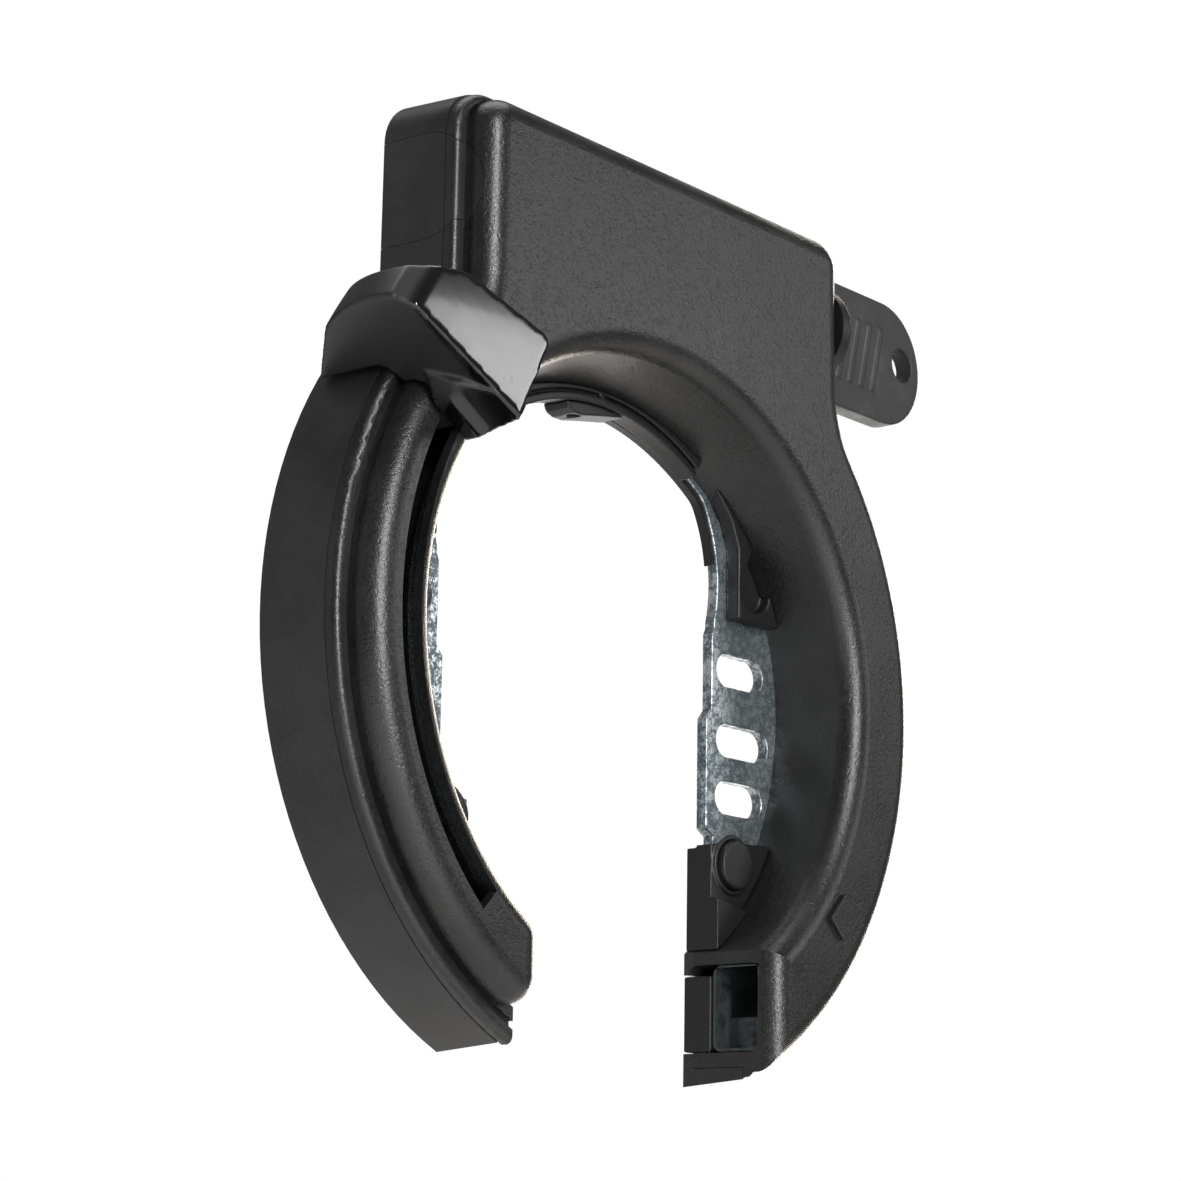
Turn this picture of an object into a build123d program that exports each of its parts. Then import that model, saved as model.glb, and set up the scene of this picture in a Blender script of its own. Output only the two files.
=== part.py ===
"""Bicycle frame ring lock, open, with its key in the cylinder.

Frame: +Z up, the lock's front faces -Y, +X is the key's side.
Origin: centre of the ring, on the back (mounting) plane.
Depth d is measured forward from the back plane, so y = -d.
All lengths are millimetres.
"""

import math
import os

from build123d import *

os.makedirs("parts", exist_ok=True)

# ---------------------------------------------------------------- dimensions
RING_L, RING_RT = 67.6, 69.6   # outer radius of the left and right half, back
WHEEL_R = 50.9         # radius of the wheel opening, lower half and sides
ARCH_BACK, ARCH_SLOPE = 44.4, 0.2476   # height of the arch at the back, rise per mm
GAP_HALF = 28.9        # half the gap between the two legs
GAP_COVER = 26.8       # the cover's left leg end
DEPTH = 18.9           # housing depth
SEAM = 12.0            # depth of the seam between case and cover
BAND_INSET = 0.9       # how much the case band narrows up to the seam
# insets from the outline as (left, right, top)
FLANGE = (1.0, 1.2, 1.1)
COVER = (4.0, 1.9, 2.1)
FLANGE_TOP = 14.2      # depth of the flange's front
COVER_FILLET = 4.0
BLOCK_X0, BLOCK_X1, BLOCK_TOP = -46.0, 49.4, 83.1
BLOCK_CORNER = 8.0
FLARE_L, FLARE_R = 8.0, 16.0   # concave radii where block and ring meet

BOW_R = 57.6           # bow centre line radius
BOW_D = 7.8            # bow bar diameter
BOW_DEPTH = 10.3       # depth of the bow's centre line
BOW_TAIL, BOW_TIP = -10.0, 238.5  # angles of the bow's ends when open
SWING = 75.5           # bow swing from open to locked

SLOT_R0, SLOT_R1 = 54.2, 58.2     # lever slot in the cover
SLOT_A0, SLOT_A1 = 145.0, 226.7
STEM_R0, STEM_R1 = 54.7, 57.7     # lever stem
STEM_A0, STEM_A1 = 146.2, 150.5

KEY_Z = 66.5           # cylinder axis height
BARREL_R = 6.7
PLUG_R = 5.0
PLUG_CLEAR = 0.05
BOLT_X0, BOLT_X1 = 10.5, 17.0
BOLT_Z0, BOLT_Z1 = 60.9, 74.0
BOLT_HALF_Y = 3.5
BOLT_TRAVEL = 3.4
CRANK_R = 3.4

PLATE_T = 2.0
SLOT_W = 5.5           # fixing slots, for M5 screws
UPPER_Z, MIDDLE_Z, LOWER_Z = 6.3, -5.65, -15.3
CROWN_R = 52.2         # crown of the plates' arch
HAUNCH_R = 26.0        # sides of the plates' arch, and their centre
HAUNCH_X, HAUNCH_Z = 8.55, 20.5
HAUNCH_EASE = 5.0      # easing where crown and sides meet
ARCH_FOOT = 14.0       # height where the arch's sides end

RIM_BEVEL = (76.7, 9.7)   # lever rim as radius and depth: end of its bevel
RIM_PEAK = (79.8, 20.0)   # widest point
RIM_LIP = (79.3, 25.0)    # start of its front lip


# ------------------------------------------------------------------- helpers
def slab(face, d0, d1):
    """Extrude a sketch given in X, Z from depth d0 to depth d1."""
    return extrude(Plane.XZ.offset(d0) * face, amount=d1 - d0, dir=(0, -1, 0))


def poly(*pts):
    """Filled polygon; corners may be given either way round."""
    area = sum(a[0] * b[1] - b[0] * a[1] for a, b in zip(pts, pts[1:] + pts[:1]))
    return Polygon(*(pts if area > 0 else pts[::-1]), align=None)


def rect(x0, x1, z0, z1):
    return poly((x0, z0), (x1, z0), (x1, z1), (x0, z1))


def pol(r, a):
    return (r * math.cos(math.radians(a)), r * math.sin(math.radians(a)))


def spin(shape, deg):
    """Turn about the ring axis; positive goes from +X towards +Z."""
    return Rot(0, -deg, 0) * shape


def lathe(face, a0, a1):
    """Turn a section drawn as (radius, -depth) through angles a0..a1."""
    s = revolve(face, axis=Axis((0, 0, 0), (0, -1, 0)), revolution_arc=a1 - a0)
    return spin(s, a0)


def rd(*pts):
    """Closed section in (radius, depth)."""
    return poly(*[(r, -d) for r, d in pts])


def box(x0, x1, d0, d1, z0, z1):
    return Pos((x0 + x1) / 2, -(d0 + d1) / 2, (z0 + z1) / 2) * Box(
        x1 - x0, d1 - d0, z1 - z0
    )


def rod_y(x, z, r, d0, d1):
    return slab(Pos(x, z) * Circle(r), d0, d1)


def rod_x(r, x0, x1, z=KEY_Z, d=BOW_DEPTH):
    return Pos((x0 + x1) / 2, -d, z) * Rot(0, 90, 0) * Cylinder(r, x1 - x0)


def sector(r0, r1, a0, a1):
    """Annular sector as a sketch."""
    w = Circle(r1) - Circle(r0)
    n = max(2, int(math.ceil((a1 - a0) / 40.0)))
    pts = [(0, 0)]
    for i in range(n + 1):
        pts.append(pol(r1 * 1.25, a0 + (a1 - a0) * i / n))
    return w & poly(*pts)


def outline(left=0.0, right=None, top=None):
    """Outer outline of ring and block, inset by left, right and top."""
    right = left if right is None else right
    top = left if top is None else top
    x0, x1, zt = BLOCK_X0 + left, BLOCK_X1 - right, BLOCK_TOP - top
    s = (Circle(RING_L - left) & rect(-99, 0, -99, 99)) + (Circle(RING_RT - right) & rect(0, 99, -99, 99))
    s = s + rect(x0, x1, 0, zt)
    s = fillet([v for v in s.vertices() if v.Y > zt - 0.01], max(BLOCK_CORNER - 0.7 * max(left, top), 4.3))
    s = fillet([v for v in s.vertices() if 20 < v.Y < 60 and v.X < -35], FLARE_L + left)
    s = fillet([v for v in s.vertices() if 20 < v.Y < 60 and v.X > 35], FLARE_R + right)
    return s


def arch_top(d):
    return ARCH_BACK + ARCH_SLOPE * d


def opening(off=0.0, d0=-2.0, d1=22.0, gap_left=GAP_HALF):
    """Solid filling the wheel opening and the leg gap, grown by off.

    The upper half is an ellipse whose top rises towards the front.
    """
    lower = (Circle(WHEEL_R + off) & rect(-99, 99, -99, 0)) + rect(
        -gap_left - off, GAP_HALF + off, -110, 0
    )
    half = rect(-99, 99, 0, 99)
    up0 = Ellipse(WHEEL_R + off, arch_top(d0) + off) & half
    up1 = Ellipse(WHEEL_R + off, arch_top(d1) + off) & half
    upper = loft([Plane.XZ.offset(d0) * up0, Plane.XZ.offset(d1) * up1], ruled=True)
    return slab(lower, d0, d1) + upper


def soften_left(solid, r_in):
    """Round the left leg's inner corner."""
    zc = -math.sqrt(WHEEL_R ** 2 - GAP_COVER ** 2)
    es = [
        e for e in solid.edges()
        if e.bounding_box().size.X < 0.01 and e.bounding_box().size.Z < 0.01
        and abs(e.center().X + GAP_COVER) < 0.05 and abs(e.center().Z - zc) < 0.5
    ]
    return fillet(es, r_in)


def at_depth(shape, d):
    return [
        e for e in shape.edges()
        if abs(e.bounding_box().min.Y + d) < 0.01 and abs(e.bounding_box().max.Y + d) < 0.01
    ]


def save(shape, name):
    shape.label = name
    export_step(shape, f"parts/{name}.step")


def merge(*shapes):
    """Several separate solids kept as one group."""
    solids = []
    for s in shapes:
        solids.extend(s.solids())
    return Compound(children=solids)


# --------------------------------------------------------------- front cover
OPEN_COVER = opening(0.0, gap_left=GAP_COVER)
shell = soften_left(slab(outline(*COVER), SEAM + 0.1, DEPTH) - OPEN_COVER, 4.2)
low_left = [
    e for e in shell.edges()
    if e.bounding_box().size.X < 0.01 and e.bounding_box().size.Z < 0.01
    and e.center().X < -20 and e.center().Z < -55
]
shell = fillet(low_left, 4.1)
shell = fillet(at_depth(shell, DEPTH), COVER_FILLET)
flange = slab(outline(*FLANGE), SEAM + 0.1, FLANGE_TOP)
flange = fillet(at_depth(flange, FLANGE_TOP), 1.2)
flange -= opening(0.0, gap_left=GAP_HALF - 0.8)
groove = slab(outline(2.9, COVER[1], COVER[2]) - outline(*COVER), FLANGE_TOP - 0.8, FLANGE_TOP + 1)
inner_wall = (slab(outline(2.7), PLATE_T, SEAM + 0.2) & opening(1.3)) - opening(0.0)
cover = shell + flange + inner_wall - groove
cover -= slab(outline(5.8, 3.7, 3.9), SEAM - 0.1, 15.4) - opening(1.3, gap_left=GAP_COVER)
cover -= slab(outline(6.8, 4.7, 4.9), 15.3, 17.2) - opening(2.6, gap_left=GAP_COVER)
# lever slot
cover -= slab(sector(SLOT_R0, SLOT_R1, SLOT_A0, SLOT_A1), 16.0, DEPTH + 1)
# bow exit in the left leg and the socket mouth in the right leg
cover -= lathe(Pos(BOW_R, -BOW_DEPTH) * Circle(BOW_D / 2 + 0.6), 228, 246)
mouth = Pos(GAP_HALF - 2, -8.125, -50.95) * Rot(0, 90, 0) * extrude(
    RectangleRounded(14.1, 14.25, 1.6), amount=8
)
cover -= mouth
cover -= lathe(rd((52.7, 5.5), (62.8, 5.5), (62.8, 15.2), (52.7, 15.2)), -57.8, -41.8)
# keyhole
cover -= rod_x(5.75, 38, 60) + rod_x(6.9, 38, 45.4)
# raised square on the right leg
cover += Pos(46.3, -DEPTH - 0.15, -35.4) * Rot(0, -46, 0) * fillet(Box(6.0, 1.7, 5.0).edges(), 0.25)

# ----------------------------------------------------------------- rear case
band = extrude(
    Plane.XZ * outline(0), amount=SEAM,
    taper=math.degrees(math.atan(BAND_INSET / SEAM)),
)
case = band - opening(0.0)
case -= slab(outline(2.6), PLATE_T, SEAM + 1) & opening(1.4)
case -= slab(outline(2.6), 3.5, SEAM + 1)
case -= mouth
case -= lathe(Pos(BOW_R, -BOW_DEPTH) * Circle(BOW_D / 2 + 0.6), 228, 246)
case -= rod_x(5.75, 38, 60)

# --------------------------------------------- insert in the block's left side
INS_Z0, INS_Z1, INS_D1 = 58.0, 75.0, 16.8
ins_r = (INS_Z1 - INS_Z0) / 2


def insert_prism(grow):
    r = ins_r + grow
    zc = (INS_Z0 + INS_Z1) / 2
    c = INS_D1 - ins_r
    p = box(-50, -40.6, -1.0, c, zc - r, zc + r)
    p += Pos(-45.3, -c, zc) * Rot(0, 90, 0) * Cylinder(r, 9.4)
    return p
insert = (cover & insert_prism(-0.08)) + (case & insert_prism(-0.08))
insert += box(-43.4, -42.0, 1.0, 12.0, INS_Z0 + 0.5, INS_Z1 - 0.5)
cover -= insert_prism(0.0)
case -= insert_prism(0.0)

# ------------------------------------------------------------ mounting plate
def arch(inset):
    """Arched inner edge of the plates, moved inwards by inset: a crown between two haunches."""
    crown = Pos(0, ARCH_BACK - CROWN_R) * Circle(CROWN_R - inset)
    sides = rect(-HAUNCH_X, HAUNCH_X, ARCH_FOOT, ARCH_BACK + 1)
    for s in (-1, 1):
        sides += Pos(s * HAUNCH_X, HAUNCH_Z) * Circle(HAUNCH_R - inset)
    top = (crown & sides) - rect(-60, 60, -70, ARCH_FOOT)
    top = fillet([v for v in top.vertices() if v.Y > HAUNCH_Z + 5], HAUNCH_EASE)
    foot = HAUNCH_X + math.sqrt((HAUNCH_R - inset) ** 2 - (HAUNCH_Z - ARCH_FOOT) ** 2)
    return top + rect(-foot, foot, -70, ARCH_FOOT)


plate2d = Circle(60.5) - arch(0.0)
plate2d -= poly((0, 0), pol(120, -38), pol(160, -90), pol(120, 218))
for s in (-1, 1):
    tab = poly((s * 34.4, 14.4), (s * 33.2, 12.0), (s * 33.2, -1.0), (s * 31.85, -2.6), (s * 31.85, -21.0),
               (s * 34.0, -22.4), (s * 42.5, -22.4), (s * 52.5, -22.4), (s * 55, 0), (s * 52, 14.4))
    tab -= rect(min(s * 38.2, s * 40.2), max(s * 38.2, s * 40.2), 13.4, 15)
    tab -= rect(min(s * 43.6, s * 45.4), max(s * 43.6, s * 45.4), 13.6, 15)
    plate2d += tab
for s in (-1, 1):
    for zc, x0, x1 in ((UPPER_Z, 34.6, 47.1), (MIDDLE_Z, 34.6, 48.6), (LOWER_Z, 34.4, 46.9)):
        plate2d -= Pos(s * (x0 + x1) / 2, zc) * SlotOverall(x1 - x0, SLOT_W)
plate = slab(plate2d, 0.8, PLATE_T - 0.05)
plate = fillet(at_depth(plate, PLATE_T - 0.05), 0.3)
back_plate = slab(plate2d, 0.0, 0.75)
case -= slab((Circle(60.7) - poly((0, 0), pol(120, -38.4), pol(160, -90), pol(120, 218.4))),
             -1, PLATE_T)

RIVETS = [pol(57.5, a) for a in (28, 152, -18, 198, 62, 118)]
rivets = []
for x, z in RIVETS:
    plate -= rod_y(x, z, 1.6, -1, 3)
    back_plate -= rod_y(x, z, 1.6, -1, 3)
    case -= rod_y(x, z, 1.6, -1, 6)
    rivets.append(rod_y(x, z, 1.55, 0.3, 3.9) + rod_y(x, z, 2.6, 3.55, 4.6))

# ---------------------------------------------------------------- black trim
ARCH_A0, ARCH_A1 = 57, 123
inside = opening(-0.12)
pad = (slab(sector(43.2, 49.0, ARCH_A0, ARCH_A1), PLATE_T + 0.05, 5.6)
       - slab(sector(44.5, 45.1, 50, 89.6) + sector(44.5, 45.1, 91.0, 130), 4.6, 7)) & inside
inner_plate = slab((arch(0.06) - arch(1.0)) & sector(30, 60, 35.5, 144.5), 0.0, 1.5)

lug2d = poly((-8.3, 42.4), (-7.7, 41.4), (-6.2, 40.8), (-4.3, 40.75), (0.5, 41.7), (5.8, 42.65), (6.0, 44.0), (-8.3, 44.0))
lug = slab(lug2d & Circle(43.15), 1.65, 5.0) + slab(lug2d & arch(1.06), 0.0, 1.7)
lug -= spin(Pos(42, -3.2, 0) * Rot(0, 90, 0) * Cylinder(1.1, 6), 96.5)

def mirror_x(shape):
    return mirror(shape, about=Plane.YZ)

BTN_X, BTN_Z = 34.5, -27.2
cap2d = poly((29.2, -24.2), (34.0, -23.4), (52, -22.6), (52, -42), (29.2, -41.4))
cap = slab(cap2d, PLATE_T + 0.05, 5.2)
cap += slab(poly((29.2, -33.0), (41.6, -35.5), (46, -41.4), (29.2, -41.4)), 5.1, 6.6)
cap += slab(rect(29.2, 31.6, -41.4, -24.6), 0.05, PLATE_T + 0.1)
cap &= inside
cap -= slab(plate2d, -0.1, PLATE_T + 0.04)
for x, z in ((38.2, -22.4), (46.6, -22.2)):
    cap += box(x - 0.7, x + 0.7, PLATE_T + 0.05, 3.0, z - 1.2, z + 0.9) & inside
cap += (rod_y(BTN_X, BTN_Z, 4.9, 5.1, 5.8) - rod_y(BTN_X, BTN_Z, 4.15, 5.0, 6)) & inside
cap -= rod_y(BTN_X, BTN_Z, 1.6, -1, 8)
button = rod_y(BTN_X, BTN_Z, 4.05, 5.25, 6.9) + rod_y(BTN_X, BTN_Z, 1.55, 2.2, 5.3)
button = fillet([e for e in at_depth(button, 6.9)], 0.4)

boss = slab(poly((36.8, 14.9), (55, 14.9), (55, 26), (31, 40), (30.5, 36.4), (34.9, 31.4), (36.8, 27.0)), PLATE_T + 0.05, 4.8)
boss &= inside
boss -= slab((Pos(41.4, 20.6) * Circle(4.0)) + poly((37.4, 20.6), (45.4, 20.6), (45.0, 27.0), (40.6, 27.4)), 2.8, 7)

# --------------------------------------------------- channels, socket, buffer
def channel(a0, a1):
    c = lathe(rd((52.9, 5.0), (62.2, 5.0), (62.2, 5.8), (52.9, 5.8)), a0, a1)
    c += lathe(rd((61.9, 5.0), (62.7, 5.0), (62.7, 11.5), (61.9, 11.5)), a0, a1)
    return c
channel_left = channel(160, 232)
channel_right = channel(-36, 16)

liner = lathe(rd((52.75, 5.6), (62.7, 5.6), (62.7, 15.1), (52.75, 15.1)), -57.6, -42.0)
liner -= lathe(rd((53.3, 6.0), (61.95, 6.0), (61.95, 14.55), (53.3, 14.55)), -70, -41.0)
liner -= slab(rect(0, 31.0, -80, -30), 0, 20)
sleeve = Pos(29.5, -BOW_DEPTH - 0.05, -50.95) * Rot(0, 90, 0) * extrude(RectangleRounded(13.7, 9.5, 1.5), amount=4.4)
liner += sleeve
liner -= Pos(29.0, -BOW_DEPTH - 0.05, -50.95) * Rot(0, 90, 0) * extrude(RectangleRounded(12.7, 8.5, 1.0), amount=4.4)
liner -= lathe(rd((53.3, 6.1), (61.95, 6.1), (61.95, 14.55), (53.3, 14.55)), -70, -41.0)
tongue = box(29.0, 36.0, 0.0, 5.4, -57.8, -45.6)
case -= box(28, 36.2, -1, 5.6, -58.0, -45.4)
buffer = lathe(Pos(57.6, -BOW_DEPTH) * Circle(3.4), -41.7, -39.9)

# ----------------------------------------------------------------------- bow
bow = lathe(Pos(BOW_R, -BOW_DEPTH) * Circle(BOW_D / 2), BOW_TAIL, BOW_TIP)
ends = [e for e in bow.edges() if e.geom_type == GeomType.CIRCLE and abs(e.radius - BOW_D / 2) < 0.01]
bow = fillet(ends, 1.4)
notch = box(BOLT_X0 - 0.4, BOLT_X1 + 0.4, 0, 20, BOLT_Z0 - BOLT_TRAVEL - 0.4, 70)
bow -= notch
bow -= spin(notch, -SWING)
bow -= slab(sector(50, 66, STEM_A0 - 0.4, STEM_A1 + 0.4), 13.0, 16)

stem = slab(sector(STEM_R0, STEM_R1, STEM_A0, STEM_A1), 13.0, 25.0)

# --------------------------------------------------------------------- lever
LEV_A = 150.0
flank_in, flank_out = pol(53.4, LEV_A), pol(80.6, LEV_A)
lev2d = poly(flank_in, flank_out, (-67.6, 44.9), (-56.2, 45.9), (-39.2, 39.9))
lev2d = fillet([v for v in lev2d.vertices() if v.Y > 39], 1.8)
lever = slab(lev2d, 0.5, 32.0)
sec = Polyline((52.0, -19.35), (60.2, -19.35), (62.6, -18.6), (63.9, -17.2), (64.2, -14.8),
               (66.4, -14.7), (67.8, -13.4), (68.05, -12.0), (68.1, -1.4), (68.4, -1.6))
bevel, peak, lip = [(r, -d) for r, d in (RIM_BEVEL, RIM_PEAK, RIM_LIP)]
rim = [Line((68.4, -1.6), bevel), ThreePointArc(bevel, peak, lip), Line(lip, (76.4, -27.7))]
face = make_face([sec, *rim, Line((76.4, -27.7), (52.0, -29.6)), Line((52.0, -29.6), (52.0, -19.35))])
lever = lever & lathe(face, 100, 200)
# neck that runs down to the slot with a concave front
def local(r, t, a=LEV_A):
    """Point from radial and tangential distances at the flank."""
    ux, uz = math.cos(math.radians(a)), math.sin(math.radians(a))
    return (r * ux - t * uz, r * uz + t * ux)
neck2d = poly(local(52.6, -3), local(66.0, -3), local(66.0, 0.1), local(63.8, 0.6), local(61.8, 1.5), local(60.4, 2.2),
              local(52.6, 2.2))
neck = slab(neck2d, 19.35, 29.0)
scoop = Pos(*[c for c in (local(58, 16.2)[0], -30.0, local(58, 16.2)[1])]) * Rot(0, -LEV_A, 0) * Rot(0, 90, 0) * Cylinder(16.0, 40)
neck -= scoop
neck &= lathe(rd((52.6, 19.35), (61.2, 19.35), (65.4, 20.2), (62.4, 25.2), (58.4, 28.9), (52.6, 29.0)), 130, 170)
lever += neck
lever -= slab(sector(STEM_R0 - 0.05, STEM_R1 + 0.05, STEM_A0 - 0.05, STEM_A1 + 0.05), 12, 25.1)
px, pz = local(56.2, -3.3)
pin = Pos(px, -22.0, pz) * Rot(0, -LEV_A, 0) * Rot(0, 90, 0) * Cylinder(1.0, 7.0)
lever -= pin
stem -= pin

# ------------------------------------------------------------- lock cylinder
barrel = rod_x(BARREL_R, 21.0, 45.1) + rod_x(5.7, 45.0, 48.8)
barrel -= rod_x(PLUG_R + PLUG_CLEAR, 20, 50)
barrel -= box(20, 46, 3.0, 3.9, 60, 74)
plug = rod_x(PLUG_R, 18.8, 48.9)
plug -= rod_x(5.5, 19.8, 20.8) - rod_x(4.3, 19.8, 20.8)
plug -= box(24, 50, BOW_DEPTH - 1.25, BOW_DEPTH + 1.25, KEY_Z - 4.0, KEY_Z + 4.0)
wafers = []
for i in range(6):
    xw = 27.0 + 3.2 * i
    plug -= box(xw - 0.1, xw + 1.1, BOW_DEPTH - 2.6, BOW_DEPTH + 2.6, KEY_Z - 6, KEY_Z + 6)
    w = box(xw, xw + 1.0, BOW_DEPTH - 2.5, BOW_DEPTH + 2.5, KEY_Z - 4.25, KEY_Z + 4.25)
    w -= box(xw - 1, xw + 2, BOW_DEPTH - 1.3, BOW_DEPTH + 1.3, KEY_Z - 3.95 + 0.1 * (i % 3), KEY_Z + 3.95)
    wafers.append(w)
clip = rod_x(6.2, 19.95, 20.65) - rod_x(4.4, 19, 21.5)
clip -= box(19, 22, BOW_DEPTH - 3.2, BOW_DEPTH + 3.2, KEY_Z - 8, KEY_Z)
cam = rod_x(4.5, 17.4, 18.8)
cam += Pos(0, 0, CRANK_R) * rod_x(1.0, 14.3, 17.5)
escutcheon = rod_x(8.6, 47.0, 50.3) - rod_x(5.75, 46, 52)
escutcheon = fillet([e for e in escutcheon.edges() if abs(e.center().X - 50.3) < 0.01 and e.radius > 8], 0.8)

escutcheon -= slab(outline(0.0), -1, SEAM + 0.05) + slab(outline(*FLANGE), SEAM, FLANGE_TOP) + slab(
    outline(*COVER), SEAM, 20)
escutcheon = escutcheon.solids().sort_by(SortBy.VOLUME)[-1]

blade = box(25.0, 60.0, BOW_DEPTH - 0.95, BOW_DEPTH + 0.95, KEY_Z - 3.6, KEY_Z + 3.6)
for i, cut in enumerate((1.3, 0.6, 1.7, 0.9, 1.5, 0.5)):
    xc = 27.5 + 3.2 * i
    for s in (-1, 1):
        v = poly((xc - 0.6, 0), (xc + 0.6, 0), (xc + 1.5, -cut * 1.0), (xc - 1.5, -cut * 1.0))
        tri = poly((xc - 1.45, -0.01), (xc + 1.45, -0.01), (xc + 0.45, cut), (xc - 0.45, cut))
        tri = tri if s < 0 else mirror(tri, about=Plane.XZ)
        blade -= slab(Pos(0, KEY_Z + s * 3.6) * tri, 5, 15)
head2d = (Pos(60.2, 66.3) * RectangleRounded(18.8, 22.4, 1.2)) + rect(60, 69.2, 55.1, 77.5)
head2d += Pos(69.2, 66.3) * Circle(11.2)
head2d -= Pos(75.2, 67.2) * Circle(3.0)
head = slab(head2d, BOW_DEPTH - 1.75, BOW_DEPTH + 1.75)
head -= box(48, 60.05, BOW_DEPTH - 1.0, BOW_DEPTH + 1.0, KEY_Z - 3.65, KEY_Z + 3.65)

# ----------------------------------------------------------------- lock bolt
bolt = box(BOLT_X0, BOLT_X1, BOW_DEPTH - BOLT_HALF_Y, BOW_DEPTH + BOLT_HALF_Y, BOLT_Z0, BOLT_Z1)
bolt = chamfer([e for e in bolt.edges() if abs(e.center().Z - BOLT_Z0) < 0.01], 0.4)
bolt -= box(13.9, 18, 0, 20, KEY_Z + CRANK_R - 1.4, KEY_Z + CRANK_R + 2.0)
bolt -= Pos(12.2, -BOW_DEPTH, 70.0) * Cylinder(1.5, 8.0)
guide = box(9.0, 13.6, 5.4, 6.4, 63.0, 76.6) + box(9.0, 13.6, 14.2, 15.2, 63.0, 76.6)
guide += box(9.0, 17.0, 5.4, 15.2, 75.4, 76.6) + box(9.0, 10.1, 5.4, 15.2, 63.0, 76.6)
guide += box(9.0, 13.6, 3.55, 5.5, 70.0, 76.6)

def spring(r, wire, pitch, height):
    path = Helix(pitch=pitch, height=height, radius=r)
    prof = Plane(origin=path @ 0, z_dir=path % 0) * Circle(wire)
    return sweep(prof, path=path, is_frenet=True)
bolt_spring = Pos(12.2, -BOW_DEPTH, 66.2) * spring(1.1, 0.2, 1.3, 9.0)
a_lo, a_hi = -35.0, -11.5
p0 = pol(BOW_R - 0.6, a_lo)
p1 = pol(BOW_R - 0.6, a_hi)
span = math.hypot(p1[0] - p0[0], p1[1] - p0[1])
lean = math.degrees(math.atan2(p1[0] - p0[0], p1[1] - p0[1]))
return_spring = Pos(p0[0], -BOW_DEPTH, p0[1]) * Rot(0, lean, 0) * spring(1.9, 0.35, 1.7, span)
anchor = rod_y(*pol(BOW_R - 0.6, -37.4), 1.4, 3.6, 14.0)

screws = []
SCREWS = [(-30, 74), (30, 76.6), (-30, 58), (-8, 66)]
for x, z in SCREWS:
    case -= rod_y(x, z, 1.6, -1, 5) + rod_y(x, z, 2.9, -1, 1.9)
    screws.append(rod_y(x, z, 1.5, 1.8, 9.0) + rod_y(x, z, 2.75, 0.2, 1.85) - slab(
        Pos(x, z) * RegularPolygon(1.3, 6), 0, 1.3))

# --------------------------------------------------------------------- write
save(cover, "front_cover")
save(case, "rear_case")
save(insert, "blanking_insert")
save(plate, "mounting_plate")
save(back_plate, "backing_plate")
save(inner_plate, "inner_plate")
save(pad, "arch_pad")
save(lug, "centre_lug")
save(cap, "cap_right")
save(mirror_x(cap), "cap_left")
save(merge(button, mirror_x(button)), "cap_buttons")
save(boss, "boss_right")
save(mirror_x(boss), "boss_left")
save(merge(*rivets), "housing_rivets")
save(merge(*screws), "case_screws")
save(channel_left, "bow_channel_left")
save(channel_right, "bow_channel_right")
save(liner, "socket_liner")
save(tongue, "socket_tongue")
save(buffer, "end_buffer")
save(bow, "bow")
save(stem, "lever_stem")
save(lever, "lever")
save(pin, "lever_pin")
save(barrel, "cylinder_housing")
save(plug, "cylinder_plug")
save(merge(*wafers), "wafers")
save(clip, "retaining_clip")
save(cam, "cam")
save(escutcheon, "key_escutcheon")
save(blade, "key_blade")
save(head, "key_head")
save(bolt, "lock_bolt")
save(guide, "bolt_guide")
save(bolt_spring, "bolt_spring")
save(return_spring, "return_spring")
save(anchor, "spring_anchor")
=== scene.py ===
"""Finishes, softened mouldings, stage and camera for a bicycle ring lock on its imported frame."""

import math

import bmesh
import bpy
from bpy.props import FloatProperty, FloatVectorProperty, IntProperty, PointerProperty
from mathutils import Euler, Matrix, Vector


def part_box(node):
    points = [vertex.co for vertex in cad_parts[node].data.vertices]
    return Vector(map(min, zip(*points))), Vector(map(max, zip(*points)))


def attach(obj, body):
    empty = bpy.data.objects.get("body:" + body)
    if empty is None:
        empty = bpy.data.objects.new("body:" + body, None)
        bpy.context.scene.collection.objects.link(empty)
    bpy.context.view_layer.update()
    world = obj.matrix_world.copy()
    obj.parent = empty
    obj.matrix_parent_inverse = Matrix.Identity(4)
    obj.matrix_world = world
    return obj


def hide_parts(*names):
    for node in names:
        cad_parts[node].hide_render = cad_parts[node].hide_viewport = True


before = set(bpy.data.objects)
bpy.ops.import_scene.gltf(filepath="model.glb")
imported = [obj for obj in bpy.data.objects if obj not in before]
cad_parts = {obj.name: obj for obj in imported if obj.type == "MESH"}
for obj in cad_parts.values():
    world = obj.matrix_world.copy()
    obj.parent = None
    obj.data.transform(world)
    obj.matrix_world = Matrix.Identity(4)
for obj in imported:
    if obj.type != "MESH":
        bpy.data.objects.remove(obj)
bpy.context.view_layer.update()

bl_info = {
    "name": "Ring Lock Workshop",
    "version": (1, 0, 0),
    "blender": (4, 5, 0),
    "location": "View3D > Sidebar > Ring Lock",
    "description": "Paints a bicycle ring lock, softens its mouldings and sets it on a studio stage",
    "category": "Object",
}


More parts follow.
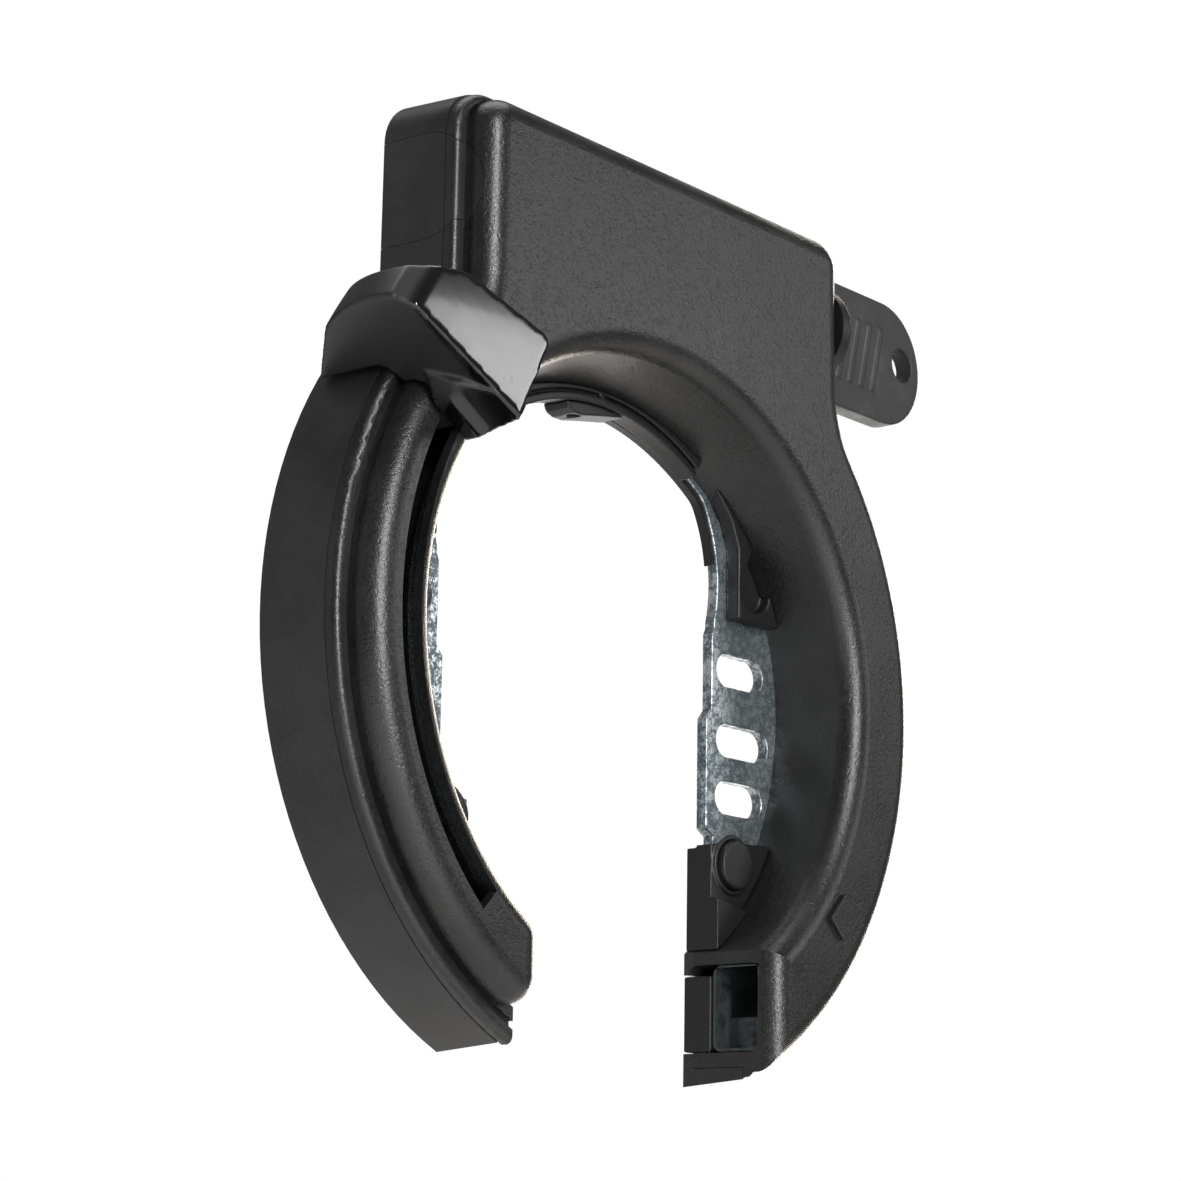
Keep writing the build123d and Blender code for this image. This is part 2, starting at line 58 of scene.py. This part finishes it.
# ------------------------------------------------------------------ settings
class RingLockFinishes(bpy.types.PropertyGroup):
    """Colours and textures of the lock's surfaces."""

    cover_colour: FloatVectorProperty(
        name="Cover colour", description="Satin black coating of the front cover",
        default=(0.0085, 0.0081, 0.0078), size=3, min=0.0, max=1.0, subtype="COLOR")
    cover_roughness: FloatProperty(
        name="Cover roughness", description="Mean roughness of the front cover's coating",
        default=0.36, min=0.05, max=1.0, subtype="FACTOR")
    cover_grain: FloatProperty(
        name="Cover grain", description="Height of the fine grain in the coating",
        default=0.00007, min=0.0, max=0.0005, precision=6, unit="LENGTH")
    band_colour: FloatVectorProperty(
        name="Case colour", description="Dark grey of the rear case's side band",
        default=(0.014, 0.014, 0.0145), size=3, min=0.0, max=1.0, subtype="COLOR")
    trim_colour: FloatVectorProperty(
        name="Trim colour", description="Matte black of the caps and pads",
        default=(0.006, 0.006, 0.0063), size=3, min=0.0, max=1.0, subtype="COLOR")
    lever_colour: FloatVectorProperty(
        name="Lever colour", description="Deep black of the glossy thumb lever",
        default=(0.0025, 0.0025, 0.0027), size=3, min=0.0, max=1.0, subtype="COLOR")
    zinc_light: FloatVectorProperty(
        name="Zinc, light", description="Light patches in the zinc plating",
        default=(0.48, 0.53, 0.55), size=3, min=0.0, max=1.0, subtype="COLOR")
    zinc_dark: FloatVectorProperty(
        name="Zinc, dark", description="Dark specks in the zinc plating",
        default=(0.12, 0.15, 0.165), size=3, min=0.0, max=1.0, subtype="COLOR")
    steel_colour: FloatVectorProperty(
        name="Bow steel", description="Bluish hardened steel of the bow",
        default=(0.33, 0.40, 0.44), size=3, min=0.0, max=1.0, subtype="COLOR")
    key_colour: FloatVectorProperty(
        name="Key head colour", description="Rough black of the key's head",
        default=(0.020, 0.020, 0.0205), size=3, min=0.0, max=1.0, subtype="COLOR")


class RingLockSizes(bpy.types.PropertyGroup):
    """Sizes of the pieces that are remade on the frame."""

    lever_skin: FloatProperty(
        name="Lever skin", description="Grid of the lever's softened surface",
        default=0.0003, min=0.0002, max=0.002, precision=5, unit="LENGTH")
    trim_skin: FloatProperty(
        name="Trim skin", description="Grid of the small mouldings' softened surface",
        default=0.00022, min=0.0001, max=0.001, precision=5, unit="LENGTH")
    soften: IntProperty(
        name="Softening", description="How many times a moulding's edges are eased",
        default=9, min=0, max=30)
    rib_count: IntProperty(
        name="Grip ribs", description="Raised grip ribs on each side of the key's head",
        default=4, min=0, max=6)
    rib_height: FloatProperty(
        name="Rib height", description="How far a grip rib stands proud of the key's head",
        default=0.0004, min=0.0001, max=0.001, precision=5, unit="LENGTH")


class RingLockStage(bpy.types.PropertyGroup):
    """Floor, lights and camera."""

    floor_drop: FloatProperty(
        name="Floor drop", description="Height of the floor under the ring's centre",
        default=0.42, min=0.1, max=2.0, unit="LENGTH")
    floor_colour: FloatVectorProperty(
        name="Floor colour", description="Pale studio floor",
        default=(0.82, 0.82, 0.82), size=3, min=0.0, max=1.0, subtype="COLOR")
    fill: FloatProperty(
        name="Fill", description="Strength of the even light from all round",
        default=0.13, min=0.0, max=3.0)
    lens: FloatProperty(
        name="Lens", description="Focal length of the camera",
        default=87.9, min=10.0, max=300.0, unit="CAMERA")


# ------------------------------------------------------------------ material
class Wire:
    """An output of a finish's node, which can stand in a sum."""

    def __init__(self, finish, socket):
        self.finish, self.socket = finish, socket

    def _math(self, operation, first, second):
        return self.finish.add("ShaderNodeMath", {"operation": operation}, {0: first, 1: second})

    def __add__(self, other):
        return self._math("ADD", self, other)

    def __radd__(self, other):
        return self._math("ADD", other, self)

    def __sub__(self, other):
        return self._math("SUBTRACT", self, other)

    def __rsub__(self, other):
        return self._math("SUBTRACT", other, self)

    def __mul__(self, other):
        return self._math("MULTIPLY", self, other)

    def __rmul__(self, other):
        return self._math("MULTIPLY", other, self)

    def __pow__(self, other):
        return self._math("POWER", self, other)

    def __rpow__(self, other):
        return self._math("POWER", other, self)


class Finish:
    """A material whose nodes are added one expression at a time."""

    def __init__(self, name):
        self.material = bpy.data.materials.new(name)
        self.material.use_nodes = True
        self.tree = self.material.node_tree
        self.tree.nodes.clear()
        self.place = self.add("ShaderNodeTexCoord", out="Object")

    def add(self, kind, settings=None, sockets=None, out=0):
        """Adds a node: its settings first, then the values or wires of its sockets."""
        node = self.tree.nodes.new(kind)
        for key, value in (settings or {}).items():
            if key == "stops":
                ends = node.color_ramp.elements
                ends[0].position, ends[0].color = value[0][0], (*value[0][1], 1)
                ends[-1].position, ends[-1].color = value[-1][0], (*value[-1][1], 1)
                for at, colour in value[1:-1]:
                    ends.new(at).color = (*colour, 1)
            else:
                setattr(node, key, value)
        for key, value in (sockets or {}).items():
            if isinstance(value, Wire):
                self.tree.links.new(value.socket, node.inputs[key])
            else:
                node.inputs[key].default_value = value
        return Wire(self, node.outputs[out]) if len(node.outputs) else None

    def noise(self, scale, detail=2.0, roughness=0.5, at=None):
        return self.add("ShaderNodeTexNoise", {}, {
            "Vector": at or self.place, "Scale": scale, "Detail": detail, "Roughness": roughness})

    def axes(self):
        """The place along X, Y and Z."""
        split = self.add("ShaderNodeSeparateXYZ", {}, {0: self.place}).socket.node
        return [Wire(self, split.outputs[i]) for i in range(3)]

    def reach(self, x, z):
        """Distance from the ring's axis."""
        return (x * x + z * z) ** 0.5

    def stretched(self, x, y, z):
        """The place on the piece, scaled differently along each axis."""
        return self.add("ShaderNodeMapping", {}, {"Vector": self.place, "Scale": (x, y, z)})

    def span(self, value, low, high, to_low=0.0, to_high=1.0):
        """Eases a value's range low..high onto to_low..to_high."""
        return self.add("ShaderNodeMapRange", {"interpolation_type": "SMOOTHSTEP"}, {
            "Value": value, "From Min": low, "From Max": high, "To Min": to_low, "To Max": to_high})

    def blend(self, share, first, second):
        """Colour between first and second."""
        pair = [(*c, 1.0) if not isinstance(c, Wire) else c for c in (first, second)]
        return self.add("ShaderNodeMix", {"data_type": "RGBA"}, {0: share, 6: pair[0], 7: pair[1]}, 2)

    def relief(self, height, distance, strength=1.0):
        return self.add("ShaderNodeBump", {}, {
            "Height": height, "Distance": distance, "Strength": strength})

    def coat(self, **sockets):
        """Ends the finish with its shader; underscores stand for spaces."""
        named = {key.replace("_", " "): value for key, value in sockets.items()}
        named = {k: (*v, 1.0) if k in ("Base Color", "Sheen Tint") and not isinstance(v, Wire) else v
                 for k, v in named.items()}
        shader = self.add("ShaderNodeBsdfPrincipled", {}, named)
        self.add("ShaderNodeOutputMaterial", {}, {"Surface": shader})
        return self.material


def tint(colour, factor):
    return tuple(min(1.0, c * factor) for c in colour)


def satin_cover(s):
    """Satin black coating with a fine, even grain."""
    f = Finish("Satin black coating")
    grain = f.noise(2300.0, 3.0, 0.66)
    pores = f.span(f.noise(1300.0, 2.0, 0.5), 0.30, 0.46, 1.0, 0.0)
    cloud = f.noise(60.0, 4.0, 0.60)
    rubbed = f.span(f.noise(170.0, 5.0, 0.68), 0.60, 0.78)
    colour = f.blend(f.span(cloud * 0.5 + grain * 0.5, 0.38, 0.62), tint(s.cover_colour, 0.55), tint(s.cover_colour, 1.7))
    colour = f.blend(rubbed * 0.35, colour, tint(s.cover_colour, 2.1))
    gloss = s.cover_roughness + (grain - 0.5) * 0.26 + (cloud - 0.5) * 0.10 - rubbed * 0.05
    height = grain + pores * 0.45 * -1.0
    return f.coat(Base_Color=colour, Roughness=gloss, Specular_IOR_Level=0.55,
                  Normal=f.relief(height, s.cover_grain, 0.75))


def case_black(s):
    """Smooth dark grey moulding of the rear case."""
    f = Finish("Dark grey moulding")
    grain = f.noise(3200.0, 3.0, 0.6)
    cloud = f.noise(80.0, 4.0, 0.6)
    scuff = f.span(f.noise(900.0, 4.0, 0.6, f.stretched(1.0, 1.0, 0.12)), 0.62, 0.76)
    colour = f.blend(f.span(cloud * 0.5 + grain * 0.5, 0.38, 0.62), tint(s.band_colour, 0.65), tint(s.band_colour, 1.45))
    colour = f.blend(scuff * 0.25, colour, tint(s.band_colour, 2.2))
    return f.coat(Base_Color=colour, Roughness=0.40 + (grain - 0.5) * 0.10 + (cloud - 0.5) * 0.06,
                  Specular_IOR_Level=0.5, Normal=f.relief(grain, 0.00003, 0.7))


def trim_black(s):
    """Matte black moulding of the caps, pads and bosses."""
    f = Finish("Matte black moulding")
    grain = f.noise(3000.0, 3.0, 0.6)
    dust = f.span(f.noise(420.0, 6.0, 0.72), 0.58, 0.80)
    colour = f.blend(dust * 0.30, s.trim_colour, tint(s.trim_colour, 3.0))
    return f.coat(Base_Color=colour, Roughness=0.46 + (grain - 0.5) * 0.18 + dust * 0.08,
                  Specular_IOR_Level=0.5, Normal=f.relief(grain, 0.00004, 0.8))


def gloss_black(s):
    """Black moulding of the lever: a polished front and a finely textured flank, with dust and hair lines."""
    f = Finish("Glossy black moulding")
    x, y, z = f.axes()
    front = f.span(0.0 - y, 0.0262, 0.0276)
    inner = 1.0 - f.span(f.reach(x, z), 0.0595, 0.0625)
    polish = front + inner - front * inner
    grain = f.noise(4200.0, 2.0, 0.6)
    wave = f.noise(75.0, 1.0, 0.4)
    haze = f.noise(260.0, 5.0, 0.65)
    dust = f.span(f.noise(2600.0, 2.0, 0.5), 0.74, 0.80)
    hair = f.span(f.noise(1200.0, 2.0, 0.5, f.stretched(1.0, 0.05, 0.35)), 0.70, 0.78)
    colour = f.blend(polish, tint(s.lever_colour, 5.0), s.lever_colour)
    colour = f.blend(dust * 0.4, colour, (0.10, 0.10, 0.11))
    rough = 0.33 - polish * 0.26 + haze * 0.07 + dust * 0.2 + hair * 0.08
    return f.coat(Base_Color=colour, Roughness=rough,
                  Specular_IOR_Level=0.6, Coat_Weight=polish * 0.4, Coat_Roughness=0.04,
                  Normal=f.relief(wave + hair * -0.02 + grain * 0.08 * (1.0 - polish), 0.00006, 0.5))


def zinc(s):
    """Zinc plating: pale with dark specks, cloudy and slightly wavy."""
    f = Finish("Mottled zinc plating")
    speck = f.noise(2100.0, 4.0, 0.62)
    flake = f.add("ShaderNodeTexVoronoi", {"feature": "F1"}, {
        "Vector": f.place, "Scale": 700.0, "Randomness": 1.0}, "Distance")
    cloud = f.noise(95.0, 3.0, 0.55)
    dark = f.span(speck * 0.95 + flake * 0.35 + (0.5 - cloud) * 0.45, 0.50, 0.74)
    colour = f.blend(dark, s.zinc_light, s.zinc_dark)
    colour = f.blend(f.span(cloud, 0.55, 0.75, 0.0, 0.35), colour, (0.56, 0.60, 0.61))
    return f.coat(Base_Color=colour, Metallic=0.92 - dark * 0.12, Roughness=0.30 + dark * 0.20 + (cloud - 0.5) * 0.12,
                  Normal=f.relief(speck * 0.6 + cloud, 0.00006, 0.7))


def ring_steel(s):
    """Hardened steel with fine lines that run round the ring."""
    f = Finish("Hardened bow steel")
    x, y, z = f.axes()
    radius = f.reach(x, z)
    turn = f.add("ShaderNodeMath", {"operation": "ARCTAN2"}, {0: z, 1: x})
    along = f.add("ShaderNodeCombineXYZ", {}, {0: radius, 1: y, 2: turn * 0.004})
    lines = f.noise(5200.0, 3.0, 0.6, along)
    cloud = f.noise(110.0, 3.0, 0.5)
    colour = f.blend(lines * 0.6 + cloud * 0.3, tint(s.steel_colour, 0.72), tint(s.steel_colour, 1.35))
    return f.coat(Base_Color=colour, Metallic=1.0, Roughness=0.24 + lines * 0.16,
                  Normal=f.relief(lines, 0.000008, 0.6))


def wire_steel(s):
    """Drawn wire and small turned steel parts."""
    f = Finish("Drawn steel wire")
    lines = f.noise(3000.0, 3.0, 0.6, f.stretched(0.2, 1.0, 1.0))
    oil = f.span(f.noise(300.0, 4.0, 0.6), 0.5, 0.75)
    colour = f.blend(lines, (0.42, 0.43, 0.45), (0.62, 0.63, 0.64))
    colour = f.blend(oil * 0.5, colour, (0.20, 0.18, 0.15))
    return f.coat(Base_Color=colour, Metallic=1.0, Roughness=0.26 + oil * 0.22 + lines * 0.08,
                  Normal=f.relief(lines, 0.00001, 0.5))


def dark_pressed_steel(s):
    """Pressed steel, dark all over with random darker patches, for the socket's lining."""
    f = Finish("Dark pressed steel")
    dark_patches = f.span(f.noise(420.0, 5.0, 0.65), 0.35, 0.70)
    lines = f.noise(2800.0, 3.0, 0.6, f.stretched(1.0, 1.0, 0.2))
    # The lining is given a dark colour all over, with random patches that are darker still.
    colour = f.blend(lines, tint(s.steel_colour, 0.20), tint(s.steel_colour, 0.34))
    colour = f.blend(dark_patches * 0.7, colour, (0.016, 0.015, 0.014))
    return f.coat(Base_Color=colour, Metallic=0.9 - dark_patches * 0.5, Roughness=0.34 + dark_patches * 0.24 + lines * 0.06,
                  Normal=f.relief(lines, 0.00002, 0.5))


def brass(s):
    """Turned brass with fine tool lines across the cylinder's axis."""
    f = Finish("Turned brass")
    lines = f.noise(4200.0, 2.0, 0.5, f.stretched(1.0, 0.03, 0.03))
    tarnish = f.span(f.noise(240.0, 5.0, 0.65), 0.48, 0.78)
    colour = f.blend(lines, (0.66, 0.48, 0.20), (0.84, 0.66, 0.34))
    colour = f.blend(tarnish * 0.55, colour, (0.30, 0.20, 0.09))
    return f.coat(Base_Color=colour, Metallic=1.0, Roughness=0.22 + tarnish * 0.25 + lines * 0.08,
                  Normal=f.relief(lines, 0.00001, 0.5))


def nickel(s):
    """Nickel plate with scratches along the key's blade."""
    f = Finish("Nickel plate")
    scratch = f.span(f.noise(5200.0, 3.0, 0.6, f.stretched(0.04, 1.0, 1.0)), 0.52, 0.72)
    cloud = f.noise(350.0, 3.0, 0.5)
    colour = f.blend(scratch, (0.66, 0.63, 0.57), (0.46, 0.44, 0.41))
    return f.coat(Base_Color=colour, Metallic=1.0, Roughness=0.16 + scratch * 0.20 + cloud * 0.08,
                  Normal=f.relief(scratch, 0.000012, 0.5))


def key_black(s):
    """Coarse spark-eroded texture of the key's head."""
    f = Finish("Coarse black key plastic")
    spark = f.noise(1900.0, 4.0, 0.66)
    handling = f.span(f.noise(130.0, 4.0, 0.6), 0.45, 0.75)
    colour = f.blend(handling * 0.6 + spark * 0.3, tint(s.key_colour, 0.75), tint(s.key_colour, 1.7))
    return f.coat(Base_Color=colour, Roughness=0.52 + (spark - 0.5) * 0.25 - handling * 0.08,
                  Specular_IOR_Level=0.5, Normal=f.relief(spark, 0.00006, 0.85))


def rubber(s):
    """Black rubber with a powdery bloom."""
    f = Finish("Black rubber")
    bloom = f.noise(500.0, 5.0, 0.7)
    colour = f.blend(bloom, (0.012, 0.012, 0.012), (0.034, 0.033, 0.032))
    return f.coat(Base_Color=colour, Roughness=0.68 + bloom * 0.2, Normal=f.relief(bloom, 0.00003, 0.6))


MADE = {}


def finish(maker):
    """A finish is made once and shared."""
    if maker.__name__ not in MADE:
        MADE[maker.__name__] = maker(bpy.context.scene.ring_lock_finishes)
    return MADE[maker.__name__]


def paint(maker, *nodes):
    """Gives CAD nodes a finish."""
    for node in nodes:
        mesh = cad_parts[node].data
        mesh.materials.clear()
        mesh.materials.append(finish(maker))


# -------------------------------------------------------------------- pieces
def as_piece(mesh, name, body, maker):
    """Links a mesh that is in place as a piece on a body."""
    mesh.materials.clear()
    mesh.materials.append(finish(maker))
    piece = bpy.data.objects.new(name, mesh)
    bpy.context.scene.collection.objects.link(piece)
    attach(piece, body)
    return piece


def merged_copy(node):
    """The CAD node's shape as one joined bmesh."""
    bm = bmesh.new()
    bm.from_mesh(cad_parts[node].data)
    bmesh.ops.remove_doubles(bm, verts=bm.verts, dist=1e-6)
    return bm


def softened(bm, skin, passes):
    """A closed skin over the shape, with its edges eased as a moulding's are."""
    mesh = bpy.data.meshes.new("rough")
    bm.to_mesh(mesh)
    bm.free()
    rough = bpy.data.objects.new("rough", mesh)
    bpy.context.scene.collection.objects.link(rough)
    cover = rough.modifiers.new("Skin", "REMESH")
    cover.mode, cover.voxel_size, cover.use_smooth_shade = "VOXEL", skin, True
    ease = rough.modifiers.new("Ease", "SMOOTH")
    ease.factor, ease.iterations = 0.5, passes
    bpy.context.view_layer.update()
    done = bpy.data.meshes.new_from_object(rough.evaluated_get(bpy.context.evaluated_depsgraph_get()))
    bpy.data.objects.remove(rough)
    if len(done.polygons) < 100:
        raise RuntimeError("the softened skin is empty")
    done.shade_smooth()
    return done


def moulding(node, body, maker, skin, passes, extra=None):
    """A softened piece that stands for a CAD node."""
    bm = merged_copy(node)
    if extra:
        extra(bm)
    mesh = softened(bm, skin, passes)
    piece = as_piece(mesh, "soft_" + node, body, maker)
    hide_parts(node)
    return piece


def bar(bm, centre, size, turn):
    """A bar with eased ends, turned about the lock's front axis."""
    made = bmesh.ops.create_cube(bm, size=1.0)["verts"]
    bmesh.ops.scale(bm, verts=made, vec=size)
    edges = list({e for v in made for e in v.link_edges})
    made = bmesh.ops.bevel(bm, geom=edges, offset=min(size) * 0.3, segments=3, profile=0.5,
                           affect="EDGES", material=-1)["verts"]
    bmesh.ops.rotate(bm, verts=made, cent=(0, 0, 0), matrix=Matrix.Rotation(turn, 3, "Y"))
    bmesh.ops.translate(bm, verts=made, vec=centre)


# ----------------------------------------------------------------- operators
class RINGLOCK_OT_cover(bpy.types.Operator):
    """Paint the front cover, the rear case and the insert in its side"""

    bl_idname = "ringlock.cover"
    bl_label = "Cover and case"

    def execute(self, context):
        paint(satin_cover, "front_cover")
        paint(case_black, "rear_case", "blanking_insert")
        return {"FINISHED"}


class RINGLOCK_OT_plate(bpy.types.Operator):
    """Paint the plated fixing plates, the channels and the fasteners"""

    bl_idname = "ringlock.plate"
    bl_label = "Plated parts"

    def execute(self, context):
        paint(dark_pressed_steel, "socket_liner")
        paint(zinc, "mounting_plate", "backing_plate", "bow_channel_left", "bow_channel_right",
              "housing_rivets", "case_screws", "cam", "bolt_guide", "spring_anchor")
        return {"FINISHED"}


class RINGLOCK_OT_trim(bpy.types.Operator):
    """Make the softened black caps, pads, bosses and buttons"""

    bl_idname = "ringlock.trim"
    bl_label = "Black trim"

    def execute(self, context):
        sizes = context.scene.ring_lock_sizes
        for node in ("cap_right", "cap_left", "boss_right", "boss_left", "arch_pad", "centre_lug",
                     "cap_buttons", "socket_tongue"):
            moulding(node, "housing", trim_black, sizes.trim_skin, max(1, sizes.soften // 4))
        paint(trim_black, "inner_plate", "key_escutcheon")
        paint(rubber, "end_buffer")
        return {"FINISHED"}


class RINGLOCK_OT_lever(bpy.types.Operator):
    """Make the glossy thumb lever"""

    bl_idname = "ringlock.lever"
    bl_label = "Thumb lever"

    def execute(self, context):
        sizes = context.scene.ring_lock_sizes
        moulding("lever", "bow", gloss_black, sizes.lever_skin, sizes.soften)
        paint(wire_steel, "lever_pin")
        return {"FINISHED"}


class RINGLOCK_OT_bow(bpy.types.Operator):
    """Paint the bow, its stem and the springs"""

    bl_idname = "ringlock.bow"
    bl_label = "Bow"

    def execute(self, context):
        paint(ring_steel, "bow", "lever_stem", "lock_bolt")
        paint(wire_steel, "return_spring", "bolt_spring", "retaining_clip")
        return {"FINISHED"}


class RINGLOCK_OT_key(bpy.types.Operator):
    """Make the key's textured head with its grip ribs, and paint the blade"""

    bl_idname = "ringlock.key"
    bl_label = "Key"

    def execute(self, context):
        sizes = context.scene.ring_lock_sizes
        low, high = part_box("key_head")
        count = sizes.rib_count

        def ribs(bm):
            for side in (low.y, high.y):
                for i in range(count):
                    x = low.x + (high.x - low.x) * (0.20 + 0.115 * i)
                    bar(bm, (x, side, (low.z + high.z) / 2), (0.0011, 2 * sizes.rib_height, 0.0125), math.radians(14))

        moulding("key_head", "key", key_black, sizes.trim_skin, max(1, sizes.soften // 4), ribs)
        paint(nickel, "key_blade")
        return {"FINISHED"}


class RINGLOCK_OT_cylinder(bpy.types.Operator):
    """Paint the lock cylinder and its wafers"""

    bl_idname = "ringlock.cylinder"
    bl_label = "Cylinder"

    def execute(self, context):
        paint(brass, "cylinder_housing", "cylinder_plug", "wafers")
        return {"FINISHED"}


class RINGLOCK_OT_stage(bpy.types.Operator):
    """Set the floor, the backdrop, the lights and the camera"""

    bl_idname = "ringlock.stage"
    bl_label = "Stage"

    def execute(self, context):
        s = context.scene.ring_lock_stage
        scene = context.scene
        scene.view_settings.view_transform = "Standard"

        bm = bmesh.new()
        bmesh.ops.create_grid(bm, x_segments=24, y_segments=24, size=3.0)
        bmesh.ops.translate(bm, verts=bm.verts, vec=(0, 0, -s.floor_drop))
        floor = self.linked(bm, "studio_floor")
        f = Finish("Pale studio floor")
        paper = f.noise(9.0, 4.0, 0.6)
        floor.data.materials.append(f.coat(
            Base_Color=f.blend(paper, tint(s.floor_colour, 0.97), tint(s.floor_colour, 1.02)),
            Roughness=0.75 + paper * 0.1, Normal=f.relief(f.noise(900.0, 3.0, 0.6), 0.0002, 0.3)))

        bm = bmesh.new()
        bmesh.ops.create_uvsphere(bm, u_segments=64, v_segments=32, radius=6.0)
        bmesh.ops.reverse_faces(bm, faces=bm.faces)
        sky = self.linked(bm, "studio_backdrop")
        f = Finish("White backdrop")
        glow = f.noise(0.6, 2.0, 0.5)
        sky.data.materials.append(f.coat(
            Base_Color=(0.0, 0.0, 0.0), Roughness=1.0, Specular_IOR_Level=0.0,
            Emission_Color=f.blend(glow, (0.995, 0.995, 0.995), (1.0, 1.0, 1.0)), Emission_Strength=1.02))
        sky.visible_diffuse = sky.visible_glossy = sky.visible_transmission = sky.visible_shadow = False

        world = bpy.data.worlds.new("Soft studio")
        world.use_nodes = True
        sheet = world.node_tree.nodes["Background"]
        sheet.inputs["Color"].default_value = (0.96, 0.98, 1.0, 1.0)
        sheet.inputs["Strength"].default_value = s.fill
        scene.world = world

        self.lamp("Left softbox", (-1.15, 0.75, 0.10), 0.8, 1.2, 1.4)
        self.lamp("Front softbox", (-0.52, -1.15, 0.32), 0.16, 0.9, 19.0)
        self.lamp("Right softbox", (0.84, -0.90, 0.365), 0.30, 0.34, 1.9)
        self.lamp("Top softbox", (0.10, 0.10, 1.30), 1.2, 0.8, 9.0)
        self.lamp("Right edge", (1.25, 0.42, 0.25), 0.35, 1.2, 15.0, colour=(1.0, 0.90, 0.78))
        self.lamp("Back sheet", (0.88, 0.78, -0.24), 0.6, 0.5, 2.2)
        self.lamp("Low sheet", (-0.35, -0.30, -0.40), 0.9, 0.9, 2.0)

        eye = bpy.data.cameras.new("Camera")
        eye.lens, eye.sensor_width, eye.sensor_fit = s.lens, 36.0, "HORIZONTAL"
        eye.clip_start, eye.clip_end = 0.01, 50.0
        eye.dof.use_dof = False
        camera = bpy.data.objects.new("Camera", eye)
        scene.collection.objects.link(camera)
        camera.location = (-0.3389, -0.2948, -0.0880)
        camera.rotation_euler = Euler([math.radians(a) for a in (102.7463, -0.9278, -49.5224)])
        scene.camera = camera
        return {"FINISHED"}

    def linked(self, bm, name):
        mesh = bpy.data.meshes.new(name)
        bm.to_mesh(mesh)
        bm.free()
        made = bpy.data.objects.new(name, mesh)
        bpy.context.scene.collection.objects.link(made)
        return made

    def lamp(self, name, at, width, height, power, colour=(1.0, 1.0, 1.0)):
        """A rectangular softbox aimed at the ring's centre."""
        data = bpy.data.lights.new(name, "AREA")
        data.shape, data.size, data.size_y = "RECTANGLE", width, height
        data.energy, data.color = power, colour
        made = bpy.data.objects.new(name, data)
        bpy.context.scene.collection.objects.link(made)
        made.location = at
        made.rotation_euler = (-Vector(at)).to_track_quat("-Z", "Y").to_euler()
        return made


class RINGLOCK_PT_workshop(bpy.types.Panel):
    """Ring lock"""

    bl_idname = "RINGLOCK_PT_workshop"
    bl_label = "Ring Lock"
    bl_space_type = "VIEW_3D"
    bl_region_type = "UI"
    bl_category = "Ring Lock"

    def draw(self, context):
        for group in (context.scene.ring_lock_finishes, context.scene.ring_lock_sizes, context.scene.ring_lock_stage):
            column = self.layout.column(align=True)
            for key in group.bl_rna.properties.keys():
                if key not in ("rna_type", "name"):
                    column.prop(group, key)
        for step in STEPS:
            self.layout.operator(step.bl_idname)


GROUPS = {"ring_lock_finishes": RingLockFinishes, "ring_lock_sizes": RingLockSizes, "ring_lock_stage": RingLockStage}
STEPS = (RINGLOCK_OT_cover, RINGLOCK_OT_plate, RINGLOCK_OT_trim, RINGLOCK_OT_lever, RINGLOCK_OT_bow,
         RINGLOCK_OT_key, RINGLOCK_OT_cylinder, RINGLOCK_OT_stage)


def register():
    for item in (*GROUPS.values(), *STEPS, RINGLOCK_PT_workshop):
        bpy.utils.register_class(item)
    for name, group in GROUPS.items():
        setattr(bpy.types.Scene, name, PointerProperty(type=group))


def unregister():
    for name in GROUPS:
        delattr(bpy.types.Scene, name)
    for item in reversed((*GROUPS.values(), *STEPS, RINGLOCK_PT_workshop)):
        bpy.utils.unregister_class(item)


def main():
    register()
    for step in STEPS:
        group, name = step.bl_idname.split(".")
        getattr(getattr(bpy.ops, group), name)()
    bpy.context.view_layer.update()


if __name__ == "__main__":
    main()
